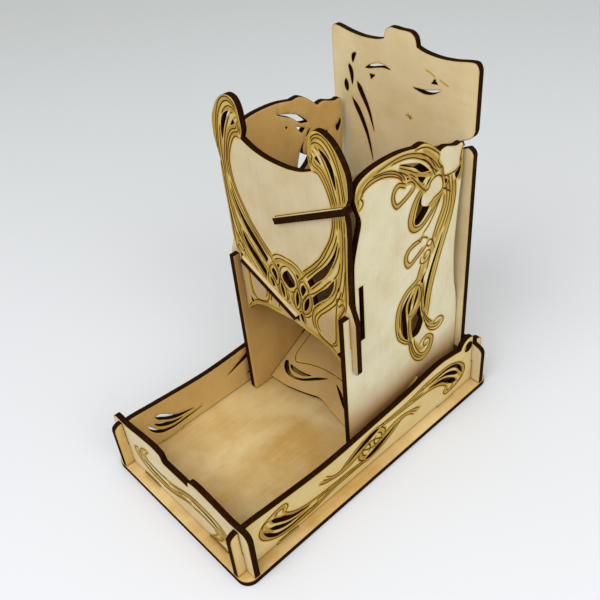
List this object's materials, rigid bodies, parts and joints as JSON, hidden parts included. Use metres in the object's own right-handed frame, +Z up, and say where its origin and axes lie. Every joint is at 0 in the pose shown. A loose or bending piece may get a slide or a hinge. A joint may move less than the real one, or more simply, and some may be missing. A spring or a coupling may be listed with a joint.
{
  "type": "dice tower",
  "caption": "Knock-down plywood dice tower: dice drop through the open top, tumble over sloping ramps and roll out into a walled tray.",
  "frame": {"origin": "middle of the base's underside, which rests on the table", "axes": "+Z up, +X to the tower's right seen from the tray, -Y out over the tray"},
  "size_m": [0.1056, 0.1756, 0.1883],
  "materials": {
    "base_plate_ply": "sanded birch plywood, a little browner, laser-burnt edges",
    "front_wall_ply": "sanded birch plywood, laser-burnt edges and scorched line ornament",
    "back_wall_ply": "sanded birch plywood, laser-burnt edges and scorched line ornament",
    "left_wall_ply": "sanded birch plywood, laser-burnt edges and scorched line ornament",
    "right_wall_ply": "sanded birch plywood, laser-burnt edges and scorched line ornament",
    "left_side_panel_ply": "sanded birch plywood, laser-burnt edges and scorched line ornament",
    "right_side_panel_ply": "sanded birch plywood, laser-burnt edges and scorched line ornament",
    "front_panel_ply": "sanded birch plywood, laser-burnt edges and scorched line ornament",
    "back_board_ply": "sanded birch plywood, laser-burnt edges",
    "upper_ramp_ply": "sanded birch plywood, laser-burnt edges",
    "lower_ramp_ply": "sanded birch plywood, laser-burnt edges",
    "floor_ramp_ply": "sanded birch plywood, laser-burnt edges and scorched line ornament"
  },
  "bodies": {
    "root": {"base_plate": "base_plate_ply", "front_wall": "front_wall_ply", "back_wall": "back_wall_ply", "left_wall": "left_wall_ply", "right_wall": "right_wall_ply", "left_side_panel": "left_side_panel_ply", "right_side_panel": "right_side_panel_ply", "front_panel": "front_panel_ply", "back_board": "back_board_ply", "upper_ramp": "upper_ramp_ply", "lower_ramp": "lower_ramp_ply", "floor_ramp": "floor_ramp_ply"}
  },
  "joints": []
}
